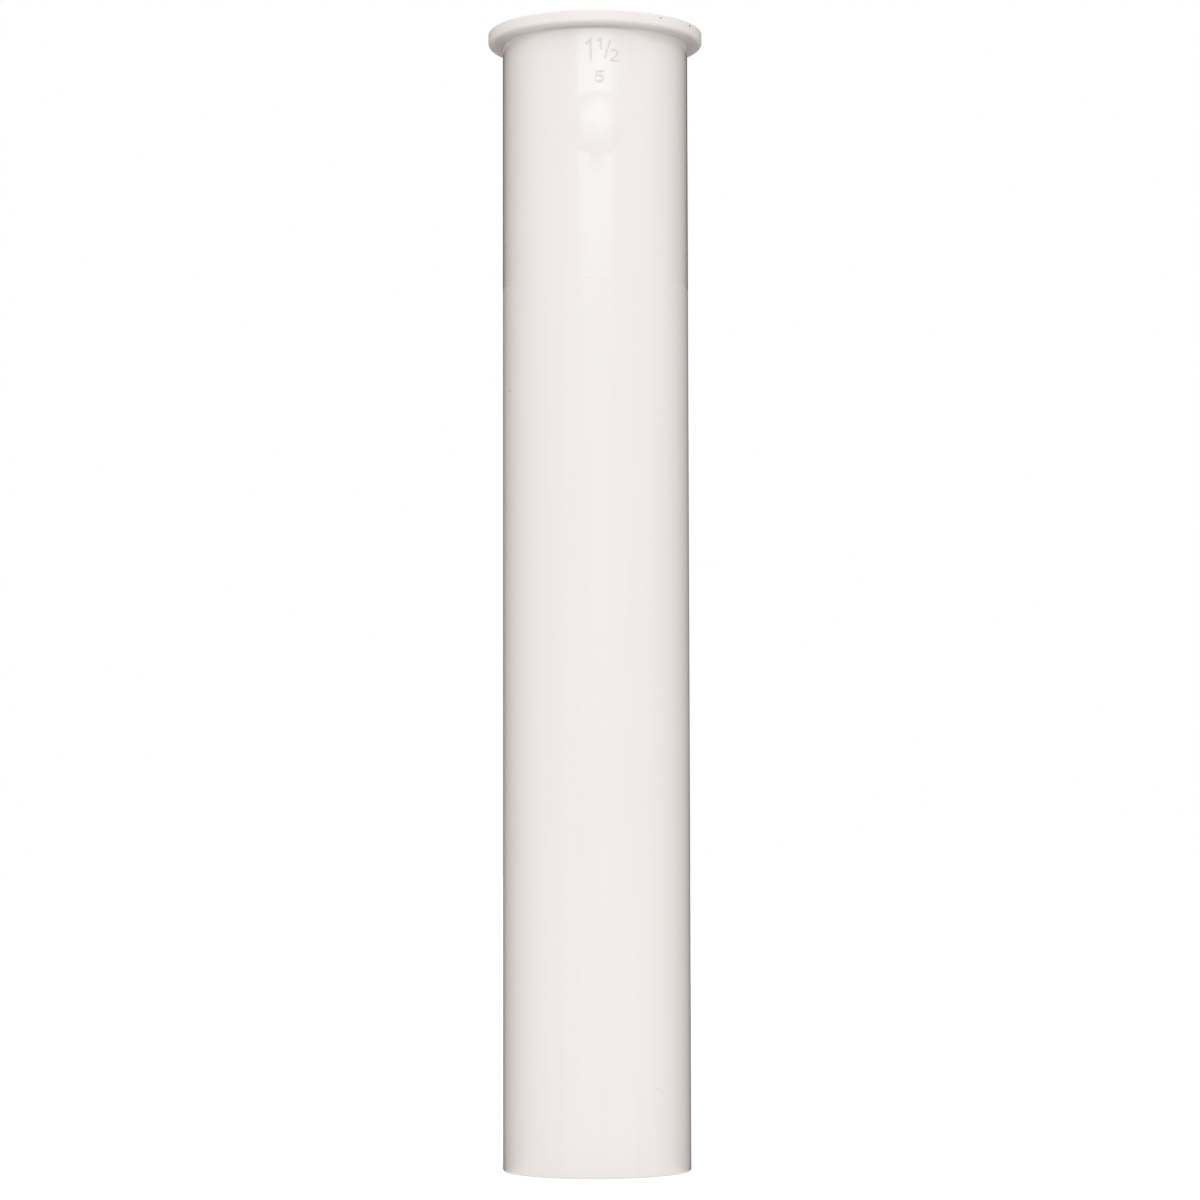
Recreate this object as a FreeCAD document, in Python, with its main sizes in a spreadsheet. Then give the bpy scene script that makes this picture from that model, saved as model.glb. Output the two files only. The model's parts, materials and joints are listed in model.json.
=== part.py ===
"""Flanged tail pipe for a basin waste, moulded in one piece of white plastic.

A plain round pipe carries a clamping flange at its top. A slip nut takes the flange from below and
pulls its flat top face against the waste, and the plain lower end slides into the nut of the trap.
The pipe stands on its plain end: the origin is the centre of that end, and +Z runs up the axis.
Every length is in millimetres.
"""

import FreeCAD, Part
import os
import Sketcher

# Driving dimensions: alias, value and what it measures.
SIZES = [
    ("pipe_od", 38.1, "outside diameter of the pipe, nominal 1 1/2 in"),
    ("wall", 1.8, "thickness of the pipe wall"),
    ("overall_length", 233.0, "plain end to the top face of the flange"),
    ("flange_reach", 3.0, "how far the flange stands out from the pipe"),
    ("flange_thickness", 2.7, "height of the flange beside the pipe"),
    ("rim_top_round", 0.3, "radius on the flange's upper rim"),
    ("rim_under_round", 0.8, "radius on the flange's lower rim"),
    ("neck_fillet", 0.3, "radius where the flange runs into the pipe"),
    ("mouth_round", 0.5, "radius on the bore's upper mouth"),
    ("end_round", 0.15, "radius round the plain end, outside and inside"),
]

# Radii and heights worked out from the sheet.
BORE_RADIUS = "sizes.pipe_od / 2 - sizes.wall"
PIPE_RADIUS = "sizes.pipe_od / 2"
RIM_RADIUS = "sizes.pipe_od / 2 + sizes.flange_reach"
PLAIN_END = "0"
NECK_HEIGHT = "sizes.overall_length - sizes.flange_thickness"
TOP_HEIGHT = "sizes.overall_length"

# The round under the rim leaves an upright land below the upper round, and a flat ring beside the neck
# for the nut. The end's two rounds share the wall.
RIM_UNDER_ROUND = (
    "min(sizes.rim_under_round;"
    " (sizes.flange_thickness - sizes.rim_top_round) / 2;"
    " (sizes.flange_reach - sizes.neck_fillet) / 2)"
)
END_ROUND = "min(sizes.end_round; sizes.wall / 3)"

RING_TOLERANCE = 1e-4


def make_sheet(doc):
    """The spreadsheet of driving dimensions, one aliased cell for each."""
    sheet = doc.addObject("Spreadsheet::Sheet", "sizes")
    for row, (alias, value, meaning) in enumerate(SIZES, start=1):
        sheet.set(f"A{row}", meaning)
        sheet.set(f"B{row}", str(value))
        sheet.setAlias(f"B{row}", alias)
    doc.recompute()
    return sheet


def value_of(sheet, expression):
    """The number that an expression of the sheet gives."""
    return float(sheet.evalExpression(expression))


def origin_plane(body, role):
    """One of the body's own origin planes, such as XZ_Plane."""
    return next(plane for plane in body.Origin.OriginFeatures if plane.Role == role)


def draw_half_section(doc, sheet, body):
    """Half the pipe's section in the XZ plane: an upright wall, with the flange out at its top."""
    corners = [
        (BORE_RADIUS, PLAIN_END),
        (PIPE_RADIUS, PLAIN_END),
        (PIPE_RADIUS, NECK_HEIGHT),
        (RIM_RADIUS, NECK_HEIGHT),
        (RIM_RADIUS, TOP_HEIGHT),
        (BORE_RADIUS, TOP_HEIGHT),
    ]
    points = [
        FreeCAD.Vector(value_of(sheet, across), value_of(sheet, up), 0) for across, up in corners
    ]
    sketch = body.newObject("Sketcher::SketchObject", "half_section")
    sketch.AttachmentSupport = [(origin_plane(body, "XZ_Plane"), "")]
    sketch.MapMode = "FlatFace"

    # Each line starts at the corner of the same number and runs to the next.
    count = len(points)
    end, outside, underside, rim, top, bore = range(count)
    for line in range(count):
        sketch.addGeometry(Part.LineSegment(points[line], points[(line + 1) % count]), False)
    for line in range(count):
        sketch.addConstraint(Sketcher.Constraint("Coincident", line, 2, (line + 1) % count, 1))
    for line in (end, underside, top):
        sketch.addConstraint(Sketcher.Constraint("Horizontal", line))
    for line in (outside, rim, bore):
        sketch.addConstraint(Sketcher.Constraint("Vertical", line))
    sketch.addConstraint(Sketcher.Constraint("PointOnObject", end, 1, -1))

    def drive(name, direction, line, expression):
        """Ties a line's start to the origin by a named distance that follows the sheet."""
        distance = value_of(sheet, expression)
        index = sketch.addConstraint(Sketcher.Constraint(direction, -1, 1, line, 1, distance))
        sketch.renameConstraint(index, name)
        sketch.setExpression(f"Constraints.{name}", expression)

    drive("bore_radius", "DistanceX", end, BORE_RADIUS)
    drive("pipe_radius", "DistanceX", outside, PIPE_RADIUS)
    drive("rim_radius", "DistanceX", rim, RIM_RADIUS)
    drive("neck_height", "DistanceY", underside, NECK_HEIGHT)
    drive("top_height", "DistanceY", top, TOP_HEIGHT)
    doc.recompute()
    return sketch


def spin_section(doc, body, sketch):
    """The half section turned once round the pipe axis."""
    spin = body.newObject("PartDesign::Revolution", "pipe_and_flange")
    spin.Profile = sketch
    spin.ReferenceAxis = (sketch, ["V_Axis"])
    spin.Angle = 360.0
    doc.recompute()


def ring_edges(feature, radius, height):
    """Names of a feature's circular edges that have this radius and lie at this height."""
    found = []
    for number, edge in enumerate(feature.Shape.Edges, start=1):
        curve = edge.Curve
        if not isinstance(curve, Part.Circle):
            continue
        same_radius = abs(curve.Radius - radius) < RING_TOLERANCE
        same_height = abs(curve.Center.z - height) < RING_TOLERANCE
        if same_radius and same_height:
            found.append(f"Edge{number}")
    if not found:
        raise RuntimeError(f"{feature.Name} has no ring of radius {radius} at height {height}")
    return found


def round_rings(doc, sheet, body, name, rings, radius):
    """A fillet on rings of the body so far, each given by its own radius and height."""
    base = body.Tip
    edges = []
    for ring_radius, ring_height in rings:
        edges += ring_edges(base, value_of(sheet, ring_radius), value_of(sheet, ring_height))
    fillet = body.newObject("PartDesign::Fillet", name)
    fillet.Base = (base, edges)
    fillet.setExpression("Radius", radius)
    doc.recompute()


def make_tail_pipe(doc, sheet):
    """The whole moulding: pipe and flange, then the neck, the rim, the bore's mouth and the end."""
    body = doc.addObject("PartDesign::Body", "tail_pipe")
    body.Label = "tail_pipe"
    body.Placement = FreeCAD.Placement()
    spin_section(doc, body, draw_half_section(doc, sheet, body))

    rounds = [
        ("neck", [(PIPE_RADIUS, NECK_HEIGHT)], "sizes.neck_fillet"),
        ("rim_underside", [(RIM_RADIUS, NECK_HEIGHT)], RIM_UNDER_ROUND),
        ("rim_top", [(RIM_RADIUS, TOP_HEIGHT)], "sizes.rim_top_round"),
        ("bore_mouth", [(BORE_RADIUS, TOP_HEIGHT)], "sizes.mouth_round"),
        ("plain_end", [(PIPE_RADIUS, PLAIN_END), (BORE_RADIUS, PLAIN_END)], END_ROUND),
    ]
    for name, rings, radius in rounds:
        round_rings(doc, sheet, body, name, rings, radius)
    return body


def check_objects(doc, pieces):
    """Stops if any object failed to compute, or a piece is not one valid solid."""
    for item in doc.Objects:
        if {"Invalid", "Error"} & set(item.State):
            raise RuntimeError(f"{item.Label} did not compute: {item.State}")
    for piece in pieces:
        shape = piece.Shape
        if shape.isNull() or not shape.isValid() or len(shape.Solids) != 1:
            raise RuntimeError(f"{piece.Label} is not one valid solid")


def main():
    doc = FreeCAD.newDocument("basin_waste_tail_pipe")
    sheet = make_sheet(doc)
    pieces = [make_tail_pipe(doc, sheet)]
    doc.recompute()
    check_objects(doc, pieces)
    os.makedirs("parts", exist_ok=True)
    for piece in pieces:
        piece.Shape.exportStep(f"parts/{piece.Label}.step")
        box = piece.Shape.optimalBoundingBox()
        volume_cm3 = piece.Shape.Volume / 1000
        print(f"{piece.Label}: {box.XLength:.2f} x {box.YLength:.2f} x {box.ZLength:.2f} mm")
        print(f"{piece.Label}: {volume_cm3:.2f} cm3")


main()
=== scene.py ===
"""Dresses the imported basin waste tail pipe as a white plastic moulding, in a plain studio.

The file is laid out as an add-on: sizes, finishes and lights are scene properties, each build step is
an operator, and a sidebar panel lists them. Lengths are in metres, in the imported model's own frame:
the pipe stands on its plain end, +Z runs up its axis to the flange, and the moulded numbers face -Y.
"""

import json
import math

import bpy
import numpy as np
from mathutils import Matrix, Vector


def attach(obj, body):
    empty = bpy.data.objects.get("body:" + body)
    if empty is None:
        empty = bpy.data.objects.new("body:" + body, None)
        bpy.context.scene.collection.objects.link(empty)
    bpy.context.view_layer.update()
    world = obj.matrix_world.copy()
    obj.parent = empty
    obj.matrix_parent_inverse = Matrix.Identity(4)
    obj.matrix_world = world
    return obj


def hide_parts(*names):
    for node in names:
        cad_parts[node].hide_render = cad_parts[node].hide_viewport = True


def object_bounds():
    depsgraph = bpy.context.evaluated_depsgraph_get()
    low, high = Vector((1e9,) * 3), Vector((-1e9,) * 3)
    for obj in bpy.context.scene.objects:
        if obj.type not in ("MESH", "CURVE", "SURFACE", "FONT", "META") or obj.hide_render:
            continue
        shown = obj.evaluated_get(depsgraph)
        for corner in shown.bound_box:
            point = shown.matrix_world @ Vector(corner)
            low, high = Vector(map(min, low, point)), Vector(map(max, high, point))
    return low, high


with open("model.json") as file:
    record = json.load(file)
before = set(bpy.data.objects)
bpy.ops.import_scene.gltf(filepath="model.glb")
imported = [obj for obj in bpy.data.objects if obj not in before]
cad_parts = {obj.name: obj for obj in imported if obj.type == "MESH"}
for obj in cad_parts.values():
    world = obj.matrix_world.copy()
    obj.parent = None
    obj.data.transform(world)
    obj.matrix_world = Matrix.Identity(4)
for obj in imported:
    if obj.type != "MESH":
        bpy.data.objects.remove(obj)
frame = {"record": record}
CAD_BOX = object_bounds()

bl_info = {
    "name": "Basin waste tail pipe",
    "version": (1, 0, 0),
    "blender": (4, 5, 0),
    "location": "View3D > Sidebar > Tail Pipe",
    "description": "Builds the moulded pipe, its plastic and its studio around the packed model",
    "category": "Object",
}

MM = 0.001
NODE = "tail_pipe"
BODY = "root"

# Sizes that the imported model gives.
MOUNTS = {mount["name"]: mount for mount in frame["record"]["mounts"]}
PIPE_RADIUS = MOUNTS["trap_spigot"]["dims"]["r_mm"] * MM
BORE_RADIUS = MOUNTS["waste_bore"]["dims"]["r_mm"] * MM
SHOULDER_HEIGHT = MOUNTS["nut_shoulder"]["pos_m"][2]
TOP_HEIGHT = MOUNTS["washer_seat"]["pos_m"][2]
RIM_RADIUS = max(CAD_BOX[1].x, CAD_BOX[1].y)

# How far apart the mesh's points lie up the plain wall and round it, over the numbers, over the round
# insert and across the ring and the parting lines; how softly one spacing runs into the next; and how
# many samples the spacing is worked out on.
WALL_STEP = 8 * MM
ROUND_STEP = 1.3 * MM
NUMBER_STEP = 0.07 * MM
DISC_STEP = 0.25 * MM
LINE_STEP = 0.06 * MM
SPOT_FADE = 0.25 * MM
SPACING_SAMPLES = 40001

# How many points each run of the half section has after the outside wall, in its order, and how many
# a curl of a number has.
NECK_POINTS = 10
SHOULDER_POINTS = 6
RIM_UNDER_POINTS = 18
LAND_POINTS = 3
RIM_TOP_POINTS = 8
SEAT_POINTS = 6
MOUTH_POINTS = 8
BORE_POINTS = 14
END_ROUND_POINTS = 6
END_POINTS = 4
CURL_POINTS = 15

# The witness ring is heaviest on this side, measured from the front; its relief's mean and its swing.
RING_HEAVY_SIDE = math.radians(-70)
RING_MEAN = 0.6
RING_SWING = 0.4

# The photograph's frame, in pixels, which the camera's focal length refers to.
FRAME_PIXELS = 1200
SENSOR_WIDTH_MM = 36.0
CLIP_START = 0.01

# How far the floor reaches each way. As a direction's Y runs over the first range, the surround turns from
# its front light to its back light; as its Z runs over the second, the overhead gain comes in.
FLOOR_REACH = 6.0
SURROUND_TURN = (-0.55, 0.0)
OVERHEAD_RISE = (0.3, 1.0)

# The dark card: where it starts, from the front; its inner and outer radius and its height; how the cover
# grows with the mirrored direction's run to the back; between which angles it comes in beside the foot; its
# attribute; its colour; how far it lies above the floor; and its points round, outward and per mirrored turn.
CARD_START = math.radians(28)
CARD_SIZE = (0.0193, 0.13, 0.4)
CARD_FADE = (-0.5, 0.73)
CARD_FOOT = (math.radians(55), math.radians(88))
CARD_COVER = "cover"
CARD_BLACK = 0.02
FLOOR_CLEARANCE = 0.05 * MM
CARD_TURN_POINTS = 81
CARD_FOOT_POINTS = 14
CARD_MIRROR_POINTS = 181


def length(name, description, default_mm):
    """A length property whose default is given in millimetres."""
    return bpy.props.FloatProperty(
        name=name, description=description, default=default_mm * MM, unit="LENGTH", precision=5
    )


def angle(name, description, default_deg):
    """An angle property whose default is given in degrees."""
    return bpy.props.FloatProperty(
        name=name, description=description, default=math.radians(default_deg), subtype="ANGLE"
    )


def colour(name, description, default):
    """A linear colour property."""
    return bpy.props.FloatVectorProperty(
        name=name, description=description, default=default, subtype="COLOR", size=3, min=0, max=1
    )


def share(name, description, default, most=1.0):
    """A plain number property that starts at nought."""
    return bpy.props.FloatProperty(name=name, description=description, default=default, min=0, max=most)


class TailPipeShape(bpy.types.PropertyGroup):
    """Rounds of the moulding, and the marks that its mould leaves."""

    rim_top_round: length("Rim top round", "Radius on the flange's upper rim", 0.3)
    rim_under_round: length("Rim under round", "Radius on the flange's lower rim", 0.8)
    neck_fillet: length("Neck fillet", "Radius where the flange runs into the pipe", 0.3)
    mouth_round: length("Mouth round", "Radius on the bore's upper mouth", 0.5)
    end_round: length("End round", "Radius round the plain end", 0.15)
    number_height: length("Number relief", "How far the moulded numbers stand out", 0.22)
    number_width: length("Number stroke", "Width of a moulded stroke at its foot", 0.44)
    ring_height: length("Witness ring height", "Height up the pipe where the mould's inserts meet", 179.5)
    ring_relief: length("Witness ring relief", "How far the witness ring stands out", 0.03)
    ring_width: length("Witness ring width", "Width of the witness ring at its foot", 0.36)
    disc_height: length("Insert disc height", "Height of the round insert's centre", 210.6)
    disc_offset: length("Insert disc offset", "The disc's centre, round the pipe from its front", 0.5)
    disc_radius: length("Insert disc radius", "Radius of the round insert's mark", 6.4)
    disc_crown: length("Insert disc crown", "How far the round mark swells in its middle", 0.2)
    disc_step: length("Insert disc step", "How far the round mark's edge stands out", 0.015)
    disc_edge: length("Insert disc edge", "Width of the round mark's sloping edge", 0.4)
    parting_relief: length("Parting line relief", "How far the parting lines stand out", 0.03)
    parting_width: length("Parting line width", "Width of a parting line at its foot", 0.24)


class TailPipeFinish(bpy.types.PropertyGroup):
    """The plastic's colours and gloss."""

    white: colour("White", "The plastic's main colour", (0.875, 0.848, 0.829))
    shade: colour("Shade", "The faintly darker colour in its flow marks", (0.850, 0.820, 0.799))
    # Corner: a painted shade colour, laid in the corner under the flange in place of its shadow.
    corner: colour("Corner", "Grime in the corner under the flange", (0.70, 0.645, 0.60))
    speck: colour("Speck", "Burnt specks in the plastic", (0.10, 0.085, 0.075))
    gloss_above: share("Roughness above the ring", "Polished upper stretch, with the numbers", 0.15)
    gloss_rim: share("Roughness of the flange", "Duller skin of the flange", 0.5)
    coat_rim: share("Shine of the flange", "Share of the pipe's clear shine on the flange", 0.5)
    gloss_below: share("Roughness below the ring", "Duller stretch below the witness ring", 0.34)


class TailPipeStudio(bpy.types.PropertyGroup):
    """The camera of the photograph, and a plain soft studio."""

    camera_distance: length("Camera distance", "Camera to the pipe's axis", 704.5)
    camera_height: length("Camera height", "Camera above the floor", 66.26)
    camera_side: length("Camera offset", "Camera to the right of the pipe's axis", 0.8)
    camera_pitch: angle("Camera pitch", "How far the camera looks up", 4.01)
    camera_roll: angle("Camera roll", "Turn of the camera about its view", -0.125)
    focal_pixels: bpy.props.FloatProperty(
        name="Focal length", description="In pixels of the photograph's frame", default=3449.0
    )
    front_level: share("Front light", "Brightness of the wide front surround", 1.283, 4.0)
    back_level: share("Back light", "Brightness of the surround behind", 0.915, 4.0)
    back_tint: colour("Back tint", "Warm tint of the surround behind", (1.0, 0.92, 0.89))
    overhead: share("Overhead light", "The surround's gain straight above", 1.08, 4.0)
    key_tint: colour("Soft box tint", "Cool tint of the soft boxes", (0.78, 0.82, 1.0))
    key_level: share("Soft box", "Brightness of the soft box above the camera", 0.72, 20.0)
    upper_level: share("Upper box", "Brightness added over the soft box's upper half", 0.62, 20.0)
    side_level: share("Side lamp", "Brightness of the weak lamp on the right", 0.4, 20.0)
    back_lamp_level: share("Back lamp", "Brightness of the tall lamp behind", 1.5, 20.0)
    floor_white: share("Floor", "How much of its light the floor gives back", 0.6)
    floor_lift: share("Floor lift", "Glow that brings the floor to white for the camera", 0.5)


def smooth_step(value, low, high):
    """0 up to low, 1 from high on, and between them 3 t^2 - 2 t^3 of the share t of the way."""
    rise = np.clip((value - low) / (high - low), 0, 1)
    return rise * rise * (3 - 2 * rise)


def crowd(low, high, step, spots):
    """Values from low to high about a step apart, and closer over each spot.

    A spot is (from, to, its own step). The values cut the running sum of a density evenly: one over the
    step everywhere, rising smoothly over a spot by one over the spot's own step.
    """
    fine = np.linspace(low, high, SPACING_SAMPLES)
    density = np.full_like(fine, 1 / step)
    for start, stop, close in spots:
        rise = np.tanh((fine - start) / SPOT_FADE)
        fall = np.tanh((fine - stop) / SPOT_FADE)
        density += 0.5 * (rise - fall) / close
    pieces = 0.5 * (density[1:] + density[:-1]) * np.diff(fine)
    total = np.concatenate([[0.0], np.cumsum(pieces)])
    return np.interp(np.linspace(0, total[-1], int(total[-1]) + 2), total, fine)


def straight(start, stop, share_along):
    """Points of a straight run of the section, and the normal on its right-hand side."""
    start, stop = np.array(start), np.array(stop)
    along = (stop - start) / np.linalg.norm(stop - start)
    points = start + share_along[:, None] * (stop - start)
    return points, np.tile([along[1], -along[0]], (len(points), 1))


def bend(centre, radius, start_deg, stop_deg, count):
    """Points of a round of the section, and its normal: outward in a left turn, inward in a right turn."""
    turn = np.radians(np.linspace(start_deg, stop_deg, count + 1)[:-1])
    spoke = np.stack([np.cos(turn), np.sin(turn)], axis=1)
    return np.array(centre) + radius * spoke, spoke * np.sign(stop_deg - start_deg)


def eased(count):
    """Shares from 0 towards 1, closer at both ends, that leave the last one out."""
    return 0.5 - 0.5 * np.cos(np.pi * np.arange(count) / count)


def half_section(shape, wall_heights):
    """The closed half section: up the outside, round the flange, down the bore and across the plain end.

    Straight runs and circular rounds follow one another, each tangent to the next. Gives the points as
    (radius, height), the outward normals, and how many points lie on the outside wall and up to the rim.
    """
    neck, top = shape.neck_fillet, shape.rim_top_round
    mouth, end = shape.mouth_round, shape.end_round
    under = shape.rim_under_round
    low, high = wall_heights[0], wall_heights[-1]
    wall_share = (wall_heights[:-1] - low) / (high - low)
    shoulder_in, shoulder_out = PIPE_RADIUS + neck, RIM_RADIUS - under
    land_low, land_high = SHOULDER_HEIGHT + under, TOP_HEIGHT - top
    seat_out, seat_in = RIM_RADIUS - top, BORE_RADIUS + mouth
    bore_top = TOP_HEIGHT - mouth
    end_in, end_out = BORE_RADIUS + end, PIPE_RADIUS - end
    runs = [
        straight((PIPE_RADIUS, low), (PIPE_RADIUS, high), wall_share),
        bend((shoulder_in, SHOULDER_HEIGHT - neck), neck, 180, 90, NECK_POINTS),
        straight((shoulder_in, SHOULDER_HEIGHT), (shoulder_out, SHOULDER_HEIGHT), eased(SHOULDER_POINTS)),
        bend((shoulder_out, land_low), under, -90, 0, RIM_UNDER_POINTS),
        straight((RIM_RADIUS, land_low), (RIM_RADIUS, land_high), eased(LAND_POINTS)),
        bend((seat_out, land_high), top, 0, 90, RIM_TOP_POINTS),
        straight((seat_out, TOP_HEIGHT), (seat_in, TOP_HEIGHT), eased(SEAT_POINTS)),
        bend((seat_in, bore_top), mouth, 90, 180, MOUTH_POINTS),
        straight((BORE_RADIUS, bore_top), (BORE_RADIUS, end), eased(BORE_POINTS)),
        bend((end_in, end), end, 180, 270, END_ROUND_POINTS),
        straight((end_in, 0), (end_out, 0), eased(END_POINTS)),
        bend((end_out, end), end, 270, 360, END_ROUND_POINTS),
    ]
    counts = [len(points) for points, normals in runs]
    points = np.concatenate([points for points, normals in runs])
    normals = np.concatenate([normals for points, normals in runs])
    return points, normals, counts[0], sum(counts[:4])


def stroke(*corners):
    """A stroke of a number through the given points, in millimetres round and up the pipe."""
    return np.array(corners) * MM


def curl(centre, across, up, start_deg, stop_deg):
    """Points of an elliptical curl of a stroke: the centre plus (across cos a, up sin a)."""
    turn = np.radians(np.linspace(start_deg, stop_deg, CURL_POINTS))
    return [(centre[0] + across * math.cos(a), centre[1] + up * math.sin(a)) for a in turn]


def number_strokes():
    """The moulded size, one and a half, and the cavity number below it, as strokes on the pipe's front.

    Each point is (millimetres round the pipe from its front, millimetres above the plain end).
    """
    return [
        stroke((-1.67, 226.8), (-0.8, 227.65), (-0.8, 223.5)),
        stroke((0.68, 227.4), (1.18, 227.85), (1.18, 225.8)),
        stroke((2.0, 224.0), (3.05, 227.3)),
        stroke(*curl((3.94, 225.0), 0.64, 0.58, 160, -35), (3.26, 223.42), (4.74, 223.42)),
        stroke((1.6, 221.1), (0.4, 221.1), (0.24, 220.1), *curl((0.86, 219.7), 0.74, 0.66, 125, -145)),
    ]


def hump(distance, width):
    """A raised cosine: 1 on the line, falling to 0 at half the width from it."""
    return 0.5 + 0.5 * np.cos(np.pi * np.clip(2 * distance / width, 0, 1))


def distance_to_strokes(around, up, strokes):
    """Least distance from each point of the unrolled wall to any stroke's straight pieces.

    The nearest point of a piece is its start plus a share of its length, the share being the point's
    projection on it, held between 0 and 1.
    """
    starts = np.concatenate([line[:-1] for line in strokes])
    pieces = np.concatenate([line[1:] for line in strokes]) - starts
    points = np.stack(np.broadcast_arrays(around, up), axis=-1)[..., None, :]
    share_along = np.sum((points - starts) * pieces, axis=-1) / np.sum(pieces * pieces, axis=-1)
    nearest = starts + np.clip(share_along, 0, 1)[..., None] * pieces
    return np.linalg.norm(points - nearest, axis=-1).min(axis=-1)


def mould_relief(shape, angles, section, wall_count, rim_count):
    """How far the surface stands out from the plain section, for each section point and angle.

    It sums raised cosines of a distance: to the strokes of the numbers, to the witness ring and to the
    two parting lines that run from the ring up to the rim; and for the round insert, a shallow parabolic
    crown and a smooth step at its edge.
    """
    radii, heights = section[:, 0], section[:, 1]
    relief = np.zeros((len(heights), len(angles)))
    around = PIPE_RADIUS * angles
    wall = heights[:wall_count, None]

    strokes = number_strokes()
    corners = np.concatenate(strokes)
    margin = shape.number_width
    low, high = corners.min(axis=0) - margin, corners.max(axis=0) + margin
    rows = np.flatnonzero((wall[:, 0] > low[1]) & (wall[:, 0] < high[1]))
    columns = np.flatnonzero((around > low[0]) & (around < high[0]))
    distance = distance_to_strokes(around[columns][None, :], heights[rows][:, None], strokes)
    relief[np.ix_(rows, columns)] += shape.number_height * hump(distance, shape.number_width)

    uneven = RING_MEAN + RING_SWING * np.cos(angles - RING_HEAVY_SIDE)
    ring = hump(np.abs(wall - shape.ring_height), shape.ring_width)
    relief[:wall_count] += shape.ring_relief * ring * uneven

    from_centre = np.hypot(around[None, :] - shape.disc_offset, wall - shape.disc_height)
    crown = np.clip(1 - (from_centre / shape.disc_radius) ** 2, 0, 1)
    relief[:wall_count] += shape.disc_crown * crown
    relief[:wall_count] += shape.disc_step * smooth_step(shape.disc_radius - from_centre, 0, shape.disc_edge)

    from_parting = PIPE_RADIUS * np.abs(np.abs(angles) - math.pi / 2)
    reach = np.clip((RIM_RADIUS - radii) / shape.rim_under_round, 0, 1)
    reach *= (heights > shape.ring_height) & (np.arange(len(heights)) < rim_count)
    relief += reach[:, None] * shape.parting_relief * hump(from_parting, shape.parting_width)[None, :]
    return relief


def pipe_surface(shape):
    """The whole moulding as one closed grid: the half section turned round the axis, plus its relief.

    At angle a from the front, a section point (r, z) lies at (r sin a, -r cos a, z). The grid closes in
    both directions, so it has no poles and no open edge.
    """
    corners = np.concatenate(number_strokes())
    marks = corners.min(axis=0) - shape.number_width, corners.max(axis=0) + shape.number_width
    disc_low, disc_high = shape.disc_height - shape.disc_radius, shape.disc_height + shape.disc_radius
    ring_low, ring_high = shape.ring_height - shape.ring_width, shape.ring_height + shape.ring_width
    wall_heights = crowd(
        shape.end_round,
        SHOULDER_HEIGHT - shape.neck_fillet,
        WALL_STEP,
        [
            (marks[0][1], marks[1][1], NUMBER_STEP),
            (disc_low, disc_high, DISC_STEP),
            (ring_low, ring_high, LINE_STEP),
        ],
    )
    half_turn = math.pi * PIPE_RADIUS
    quarter_turn = 0.5 * half_turn
    around = crowd(
        -half_turn,
        half_turn,
        ROUND_STEP,
        [
            (marks[0][0], marks[1][0], NUMBER_STEP),
            (shape.disc_offset - shape.disc_radius, shape.disc_offset + shape.disc_radius, DISC_STEP),
            (quarter_turn - shape.parting_width, quarter_turn + shape.parting_width, LINE_STEP),
            (-quarter_turn - shape.parting_width, -quarter_turn + shape.parting_width, LINE_STEP),
        ],
    )
    angles = around[:-1] / PIPE_RADIUS
    section, normals, wall_count, rim_count = half_section(shape, wall_heights)
    relief = mould_relief(shape, angles, section, wall_count, rim_count)
    radius = section[:, :1] + normals[:, :1] * relief
    height = section[:, 1:] + normals[:, 1:] * relief
    return np.stack([radius * np.sin(angles), -radius * np.cos(angles), height], axis=-1)


def closed_grid_mesh(name, points):
    """A smooth mesh of quads from a grid of points that closes in both directions."""
    rows, columns = points.shape[:2]
    index = np.arange(rows * columns).reshape(rows, columns)
    right, above = np.roll(index, -1, axis=1), np.roll(index, -1, axis=0)
    quads = np.stack([index, right, np.roll(above, -1, axis=1), above], axis=-1).reshape(-1, 4)
    mesh = bpy.data.meshes.new(name)
    mesh.from_pydata(points.reshape(-1, 3).tolist(), [], quads.tolist())
    mesh.shade_smooth()
    return mesh


def add_object(name, data):
    """A new object at the origin, linked into the scene."""
    made = bpy.data.objects.new(name, data)
    bpy.context.scene.collection.objects.link(made)
    return made


def add_node(tree, kind, inputs=None, **settings):
    """A node with its settings made and its inputs set or linked."""
    made = tree.nodes.new(kind)
    for key, value in settings.items():
        setattr(made, key, value)
    for socket, value in (inputs or {}).items():
        if isinstance(value, bpy.types.NodeSocket):
            tree.links.new(value, made.inputs[socket])
        else:
            made.inputs[socket].default_value = value
    return made


def ranged(tree, value, span=(0.0, 1.0), to=(0.0, 1.0), smooth=False):
    """A value carried from one range to another and held at its ends, evenly or by a smooth step."""
    inputs = {"Value": value, "From Min": span[0], "From Max": span[1], "To Min": to[0], "To Max": to[1]}
    kind = "SMOOTHSTEP" if smooth else "LINEAR"
    return add_node(tree, "ShaderNodeMapRange", inputs, interpolation_type=kind).outputs["Result"]


def mixed(tree, kind, factor, first, second):
    """Two numbers or two colours, of kind FLOAT or RGBA, mixed as far as the factor says."""
    inputs = {"Factor": factor, "A": first, "B": second}
    return add_node(tree, "ShaderNodeMix", inputs, data_type=kind).outputs["Result"]


def worked(tree, operation, *numbers):
    """The result of a sum on numbers."""
    return add_node(tree, "ShaderNodeMath", dict(enumerate(numbers)), operation=operation).outputs["Value"]


def measured(tree, operation, *vectors):
    """The number that an operation on vectors gives, such as a distance."""
    inputs = dict(enumerate(vectors))
    return add_node(tree, "ShaderNodeVectorMath", inputs, operation=operation).outputs["Value"]


def noise(tree, place, settings):
    """A noise texture over the given place."""
    return add_node(tree, "ShaderNodeTexNoise", {"Vector": place, **settings}).outputs["Fac"]


def grey(level):
    """An opaque colour with the same level in each channel."""
    return (level, level, level, 1)


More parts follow.
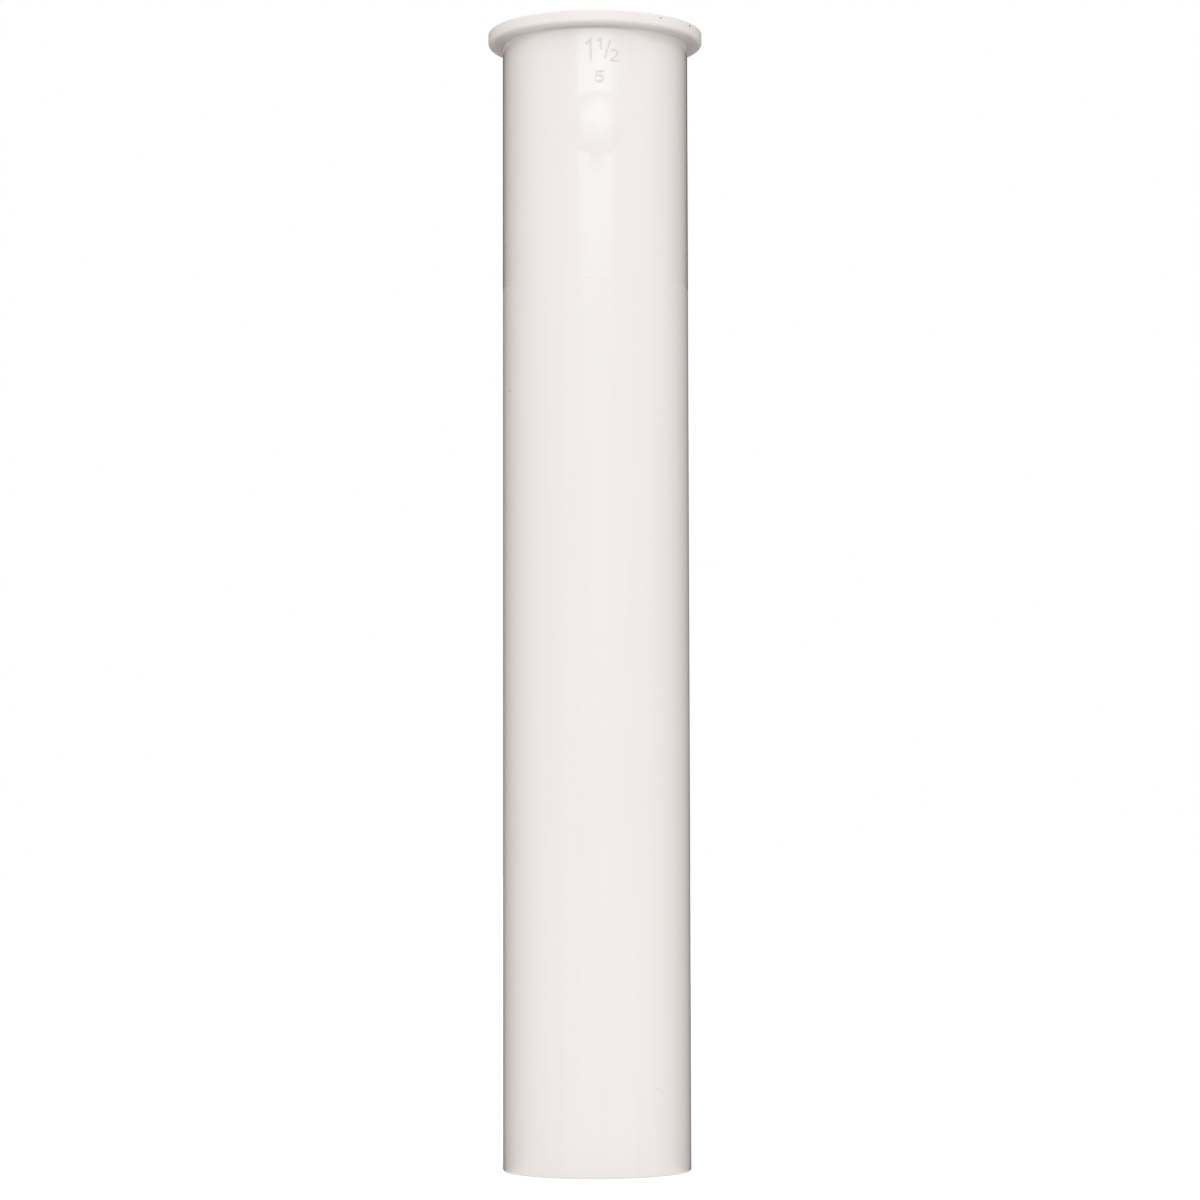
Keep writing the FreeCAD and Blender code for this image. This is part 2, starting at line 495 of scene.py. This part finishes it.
def new_material(name):
    """An empty node material and its tree."""
    made = bpy.data.materials.new(name)
    made.use_nodes = True
    made.node_tree.nodes.clear()
    return made, made.node_tree


def on_pipe(radius, around_deg, height_mm):
    """The place on a wall of that radius, at an angle to the right of the front."""
    turn = math.radians(around_deg)
    return (radius * math.sin(turn), -radius * math.cos(turn), height_mm * MM)


# Noise in the plastic: cloudy flow marks, streaks drawn out along the pipe, and the fine skin.
FLOW_MARKS = {"Scale": 45.0, "Detail": 3.0, "Roughness": 0.55}
STREAKS = {"Scale": 420.0, "Detail": 4.0, "Roughness": 0.6}
STREAK_DRAW = (1.0, 1.0, 0.03)
SKIN = {"Scale": 1500.0, "Detail": 2.0}

# What the streaks do: the band of their noise that shows in the tone, how much of the tone's unevenness
# they are, beside the flow marks, how far they swing the roughness, and their weight over the skin's.
STREAK_BAND = (0.35, 0.65)
STREAK_SHARE = 0.45
STREAK_ROUGHNESS = (-0.05, 0.05)
STREAK_WEIGHT = 1.5

# How strongly and how deeply streaks and skin stand in the surface, and the plastic's own optics.
GRAIN_STRENGTH = 0.12
GRAIN_DEPTH = 0.04 * MM
PLASTIC_IOR = 1.5
COAT_ROUGHNESS = 0.09

# Burnt specks: where each lies, its radius, and how much of it shows through the plastic; and the share
# of the radius that is full before it fades.
SPECKS = [
    (on_pipe(PIPE_RADIUS, -66.7, 157.8), 0.22 * MM, 1.0),
    (on_pipe(PIPE_RADIUS, 37.7, 97.4), 0.22 * MM, 0.2),
    (on_pipe(PIPE_RADIUS, 39.2, 17.4), 0.22 * MM, 0.28),
    (on_pipe(RIM_RADIUS, 37.3, 232.3), 0.22 * MM, 1.0),
    (on_pipe(RIM_RADIUS, 61.5, 232.3), 0.30 * MM, 1.0),
]
SPECK_CORE = 0.5

# Painted shade in the corner under the flange, laid in the colour in place of the shadow there: how far from
# the corner the painted shade starts to thin and where it ends, as a line at the front and as a film round
# the sides; how thick that film is beside the line; where the line's middle lies, in degrees from the front;
# how far toward that middle the line comes in and the film gives way; and how deep in the neck's fillet the
# corner is taken to lie, as a share of its radius.
PAINTED_SHADE_FRONT = (0.15 * MM, 0.5 * MM)
PAINTED_SHADE_SIDE = (0.8 * MM, 3.0 * MM)
PAINTED_SHADE_FILM = 0.42
PAINTED_SHADE_TURN = -7.0
PAINTED_SHADE_LINE_SPAN = (0.80 * PIPE_RADIUS, 0.99 * PIPE_RADIUS)
PAINTED_SHADE_FILM_SPAN = (0.95 * PIPE_RADIUS, 0.70 * PIPE_RADIUS)
PAINTED_SHADE_INSET = 0.4


def painted_corner_shade(tree, shape, place, height):
    """How thick the painted shade under the flange is: a line in the corner at the front, and a thin wide
    film round the sides.

    It falls off by a smooth step of the distance to the corner, in the section of radius and height. Its
    thickness and its two limits change with how far the place lies toward the line's middle.
    """
    toward = measured(tree, "DOT_PRODUCT", place, on_pipe(1.0, PAINTED_SHADE_TURN, 0.0))
    forward = ranged(tree, toward, PAINTED_SHADE_LINE_SPAN, smooth=True)
    sideways = ranged(tree, toward, PAINTED_SHADE_FILM_SPAN, smooth=True)
    thick = worked(tree, "MULTIPLY_ADD", sideways, PAINTED_SHADE_FILM, forward)
    start = ranged(tree, sideways, to=(PAINTED_SHADE_FRONT[0], PAINTED_SHADE_SIDE[0]))
    stop = ranged(tree, sideways, to=(PAINTED_SHADE_FRONT[1], PAINTED_SHADE_SIDE[1]))

    flat = add_node(tree, "ShaderNodeVectorMath", {0: place, 1: (1, 1, 0)}, operation="MULTIPLY")
    radius = measured(tree, "LENGTH", flat.outputs["Vector"])
    section = add_node(tree, "ShaderNodeCombineXYZ", {"X": radius, "Z": height}).outputs["Vector"]
    inset = PAINTED_SHADE_INSET * shape.neck_fillet
    away = measured(tree, "DISTANCE", section, (PIPE_RADIUS + inset, 0, SHOULDER_HEIGHT - inset))
    return ranged(tree, away, (start, stop), (thick, 0.0), smooth=True)


def speckled(tree, finish, place, tint):
    """The tint with its burnt specks, each a ball round its centre that fades to its edge."""
    for centre, size, depth in SPECKS:
        away = measured(tree, "DISTANCE", place, centre)
        mask = ranged(tree, away, (SPECK_CORE * size, size), (depth, 0.0))
        tint = mixed(tree, "RGBA", mask, tint, (*finish.speck, 1))
    return tint


def plastic_gloss(tree, finish, shape, height, streaks):
    """Roughness and clear shine: polished above the ring, duller below it and on the flange."""
    ring = (shape.ring_height - shape.ring_width, shape.ring_height)
    polish = ranged(tree, height, ring, (finish.gloss_below, finish.gloss_above), smooth=True)
    on_flange = ranged(tree, height, (SHOULDER_HEIGHT - shape.neck_fillet, SHOULDER_HEIGHT))
    polish = mixed(tree, "FLOAT", on_flange, polish, finish.gloss_rim)
    roughness = worked(tree, "ADD", polish, ranged(tree, streaks, to=STREAK_ROUGHNESS))
    return roughness, ranged(tree, on_flange, to=(1.0, finish.coat_rim))


def white_plastic(finish, shape):
    """Moulded white plastic: flow marks, streaks along the pipe, painted shade in the corner under the
    flange, specks and its gloss.
    """
    made, tree = new_material("white_plastic")
    place = add_node(tree, "ShaderNodeTexCoord").outputs["Object"]
    height = add_node(tree, "ShaderNodeSeparateXYZ", {"Vector": place}).outputs["Z"]
    drawn = add_node(tree, "ShaderNodeMapping", {"Vector": place, "Scale": STREAK_DRAW}).outputs["Vector"]
    flow = noise(tree, place, FLOW_MARKS)
    streaks = noise(tree, drawn, STREAKS)
    skin = noise(tree, place, SKIN)

    uneven_tone = mixed(tree, "FLOAT", STREAK_SHARE, flow, ranged(tree, streaks, STREAK_BAND))
    tint = mixed(tree, "RGBA", uneven_tone, (*finish.white, 1), (*finish.shade, 1))
    # Painted shade: the corner under the flange is darkened in the colour itself, in place of its shadow.
    tint = mixed(tree, "RGBA", painted_corner_shade(tree, shape, place, height), tint, (*finish.corner, 1))
    tint = speckled(tree, finish, place, tint)
    roughness, shine = plastic_gloss(tree, finish, shape, height, streaks)
    grain = worked(tree, "MULTIPLY_ADD", streaks, STREAK_WEIGHT, skin)
    bumped = add_node(
        tree, "ShaderNodeBump", {"Height": grain, "Strength": GRAIN_STRENGTH, "Distance": GRAIN_DEPTH}
    ).outputs["Normal"]
    plastic = add_node(
        tree,
        "ShaderNodeBsdfPrincipled",
        {
            "Base Color": tint,
            "Roughness": roughness,
            "IOR": PLASTIC_IOR,
            "Coat Weight": shine,
            "Coat Roughness": COAT_ROUGHNESS,
            "Normal": bumped,
        },
    )
    add_node(tree, "ShaderNodeOutputMaterial", {"Surface": plastic.outputs["BSDF"]})
    return made


def seen_directly(tree):
    """1 for rays from the camera, from a gloss or through glass, and 0 for rays that only carry light."""
    rays = add_node(tree, "ShaderNodeLightPath").outputs
    mirrored = worked(tree, "MAXIMUM", rays["Is Glossy Ray"], rays["Is Transmission Ray"])
    return worked(tree, "MAXIMUM", rays["Is Camera Ray"], mirrored)


def floor_paper(studio):
    """White paper that shows the pipe's shadow, lifted to white for camera, glossy and clear rays."""
    made, tree = new_material("floor_paper")
    paper = add_node(tree, "ShaderNodeBsdfDiffuse", {"Color": grey(studio.floor_white)}).outputs["BSDF"]
    glow = add_node(tree, "ShaderNodeEmission", {"Color": grey(1), "Strength": studio.floor_lift})
    lifted = add_node(tree, "ShaderNodeAddShader", {0: paper, 1: glow.outputs["Emission"]})
    shown = add_node(
        tree, "ShaderNodeMixShader", {0: seen_directly(tree), 1: paper, 2: lifted.outputs["Shader"]}
    )
    add_node(tree, "ShaderNodeOutputMaterial", {"Surface": shown.outputs["Shader"]})
    return made


def surround(studio):
    """A white surround: wide and bright in front, weaker behind; plain white where it is seen."""
    world = bpy.data.worlds.new("surround")
    world.use_nodes = True
    tree = world.node_tree
    tree.nodes.clear()
    way = add_node(tree, "ShaderNodeTexCoord").outputs["Generated"]
    parts = add_node(tree, "ShaderNodeSeparateXYZ", {"Vector": way}).outputs
    behind = ranged(tree, parts["Y"], SURROUND_TURN, smooth=True)
    above = ranged(tree, parts["Z"], OVERHEAD_RISE, (1.0, studio.overhead), smooth=True)
    back = (*[studio.back_level * tint for tint in studio.back_tint], 1)
    level = mixed(tree, "RGBA", behind, grey(studio.front_level), back)
    light = add_node(tree, "ShaderNodeBackground", {"Color": level, "Strength": above})
    white = add_node(tree, "ShaderNodeBackground", {"Color": grey(1), "Strength": 1.0})
    shown = add_node(
        tree,
        "ShaderNodeMixShader",
        {0: seen_directly(tree), 1: light.outputs["Background"], 2: white.outputs["Background"]},
    )
    add_node(tree, "ShaderNodeOutputWorld", {"Surface": shown.outputs["Shader"]})
    return world


def dark_card():
    """Matt black card round the pipe's back, as clear as its cover is low."""
    made, tree = new_material("dark_card")
    cover = add_node(tree, "ShaderNodeAttribute", attribute_name=CARD_COVER).outputs["Fac"]
    matt = add_node(tree, "ShaderNodeBsdfDiffuse", {"Color": grey(CARD_BLACK)})
    clear = add_node(tree, "ShaderNodeBsdfTransparent")
    faded = add_node(
        tree, "ShaderNodeMixShader", {0: cover, 1: clear.outputs["BSDF"], 2: matt.outputs["BSDF"]}
    )
    add_node(tree, "ShaderNodeOutputMaterial", {"Surface": faded.outputs["Shader"]})
    return made


# Lamps: the shape of each one, its width and height, its place, and the point that it faces.
LAMPS = {
    "soft_box": ("ELLIPSE", (1.0, 0.2), (0.02, -1.2, 0.475), (0, 0, 0.2)),
    "upper_box": ("ELLIPSE", (1.2, 0.14), (0.06, -1.2, 0.53), (0, 0, 0.2)),
    "side_lamp": ("RECTANGLE", (0.6, 0.3), (0.87, -0.5, 0.12), (0, 0, 0.1)),
    "back_lamp": ("RECTANGLE", (0.25, 0.9), (0, 1.4, 0.6), (0, 0, 0.12)),
}


def soft_lamp(name, level, tint=(1, 1, 1), glossy=True):
    """An area lamp of the given brightness, turned to face its point, that the camera doesn't see."""
    shape, size, place, aim = LAMPS[name]
    lamp = bpy.data.lights.new(name, "AREA")
    lamp.shape = shape
    lamp.size, lamp.size_y = size
    face = size[0] * size[1] * (math.pi / 4 if shape == "ELLIPSE" else 1)
    lamp.energy = level * math.pi * face
    lamp.color = tint
    made = add_object(name, lamp)
    made.location = place
    made.rotation_euler = (Vector(aim) - Vector(place)).to_track_quat("-Z", "Y").to_euler()
    made.visible_camera = False
    made.visible_glossy = glossy


def floor_mesh():
    """A level square round the origin, its last two corners the first two turned half round."""
    near = [(-FLOOR_REACH, -FLOOR_REACH, 0), (FLOOR_REACH, -FLOOR_REACH, 0)]
    mesh = bpy.data.meshes.new("floor")
    mesh.from_pydata(near + [(-x, -y, z) for x, y, z in near], [], [(0, 1, 2, 3)])
    return mesh


def card_cover(radius, turn):
    """How dark the card is at a radius and an angle from the front, so that the pipe mirrors it evenly.

    A level ray from the front that meets the pipe's wall at angle p leaves it at 2 p, and at radius r it is
    at the angle 2 p - arcsin(R sin p / r). Turned round, that gives p for each place on the card, and the
    cover is a smooth step of -cos 2 p, so it grows from the front to the back. Near the foot, it is also
    scaled by a smooth step of the angle, so that the pipe seen from behind doesn't mirror it.
    """
    met = np.linspace(0, math.pi / 2, CARD_MIRROR_POINTS)
    mirrored = [
        np.interp(turn, 2 * met - np.arcsin(PIPE_RADIUS * np.sin(met) / each), met) for each in radius
    ]
    cover = smooth_step(-np.cos(2 * np.array(mirrored)), *CARD_FADE)
    near = 1 - (radius[:, None] / radius.max()) ** 2
    return cover * (1 - near * (1 - smooth_step(turn, *CARD_FOOT)))


def card_mesh():
    """A round card: from the pipe's foot out along the floor, then upright round its back.

    Its section's points (r, z) are turned through angles a: (r sin a, -r cos a, z).
    """
    half = np.linspace(CARD_START, math.pi, CARD_TURN_POINTS)
    inner, outer, height = CARD_SIZE
    foot = np.geomspace(inner, outer, CARD_FOOT_POINTS)
    radius = np.append(foot, outer)
    up = np.append(np.full(len(foot), FLOOR_CLEARANCE), height)
    cover = card_cover(radius, half)
    cover = np.concatenate([cover, cover[:, -2::-1]], axis=1)
    turn = np.concatenate([half, 2 * math.pi - half[-2::-1]])
    across, along = radius[:, None] * np.sin(turn), -radius[:, None] * np.cos(turn)
    points = np.stack(np.broadcast_arrays(across, along, up[:, None]), axis=-1)

    index = np.arange(cover.size).reshape(cover.shape)
    low, high = index[:-1], index[1:]
    quads = np.stack([low[:, :-1], low[:, 1:], high[:, 1:], high[:, :-1]], axis=-1)
    mesh = bpy.data.meshes.new("edge_card")
    mesh.from_pydata(points.reshape(-1, 3).tolist(), [], quads.reshape(-1, 4).tolist())
    shade = mesh.attributes.new(CARD_COVER, "FLOAT", "POINT")
    shade.data.foreach_set("value", cover.ravel())
    return mesh


def photo_camera(studio):
    """The photograph's camera: beside the axis, at its height, looking up a little and rolled."""
    view = bpy.data.cameras.new("photo_camera")
    view.sensor_width = SENSOR_WIDTH_MM
    view.lens = studio.focal_pixels * SENSOR_WIDTH_MM / FRAME_PIXELS
    view.clip_start = CLIP_START
    camera = add_object("photo_camera", view)
    camera.matrix_world = (
        Matrix.Translation((studio.camera_side, -studio.camera_distance, studio.camera_height))
        @ Matrix.Rotation(math.pi / 2 + studio.camera_pitch, 4, "X")
        @ Matrix.Rotation(studio.camera_roll, 4, "Z")
    )
    return camera


class TAILPIPE_OT_moulding(bpy.types.Operator):
    """Build the moulded pipe with its flange, numbers and mould marks"""

    bl_idname = "tail_pipe.moulding"
    bl_label = "Moulded Pipe"

    def execute(self, context):
        shape, finish = context.scene.tail_pipe_shape, context.scene.tail_pipe_finish
        pipe = add_object("moulded_pipe", closed_grid_mesh("moulded_pipe", pipe_surface(shape)))
        pipe.data.materials.append(white_plastic(finish, shape))
        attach(pipe, BODY)
        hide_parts(NODE)
        return {"FINISHED"}


class TAILPIPE_OT_stage(bpy.types.Operator):
    """Lay the floor, light the pipe and set the camera"""

    bl_idname = "tail_pipe.stage"
    bl_label = "Studio"

    def execute(self, context):
        studio = context.scene.tail_pipe_studio
        context.scene.view_settings.view_transform = "Standard"
        context.scene.world = surround(studio)

        floor = add_object("floor", floor_mesh())
        floor.data.materials.append(floor_paper(studio))
        card = add_object("edge_card", card_mesh())
        card.data.materials.append(dark_card())
        card.visible_camera = False
        card.visible_diffuse = False
        card.visible_shadow = False

        soft_lamp("soft_box", studio.key_level, studio.key_tint)
        soft_lamp("upper_box", studio.upper_level, studio.key_tint)
        soft_lamp("side_lamp", studio.side_level, glossy=False)
        soft_lamp("back_lamp", studio.back_lamp_level, glossy=False)
        context.scene.camera = photo_camera(studio)
        return {"FINISHED"}


class TAILPIPE_PT_sidebar(bpy.types.Panel):
    """Sizes, finish and studio of the tail pipe"""

    bl_idname = "TAILPIPE_PT_sidebar"
    bl_label = "Tail Pipe"
    bl_space_type = "VIEW_3D"
    bl_region_type = "UI"
    bl_category = "Tail Pipe"

    def draw(self, context):
        scene = context.scene
        groups = (scene.tail_pipe_shape, scene.tail_pipe_finish, scene.tail_pipe_studio)
        for group in groups:
            box = self.layout.box()
            for name in group.bl_rna.properties.keys():
                if name not in {"rna_type", "name"}:
                    box.prop(group, name)
        for step in STEPS:
            self.layout.operator(step.bl_idname)


STEPS = (TAILPIPE_OT_moulding, TAILPIPE_OT_stage)
GROUPS = {
    "tail_pipe_shape": TailPipeShape,
    "tail_pipe_finish": TailPipeFinish,
    "tail_pipe_studio": TailPipeStudio,
}
CLASSES = (*GROUPS.values(), *STEPS, TAILPIPE_PT_sidebar)


def register():
    for each in CLASSES:
        bpy.utils.register_class(each)
    for name, group in GROUPS.items():
        setattr(bpy.types.Scene, name, bpy.props.PointerProperty(type=group))


def unregister():
    for name in GROUPS:
        delattr(bpy.types.Scene, name)
    for each in reversed(CLASSES):
        bpy.utils.unregister_class(each)


def main():
    register()
    bpy.ops.tail_pipe.moulding()
    bpy.ops.tail_pipe.stage()


if __name__ == "__main__":
    main()
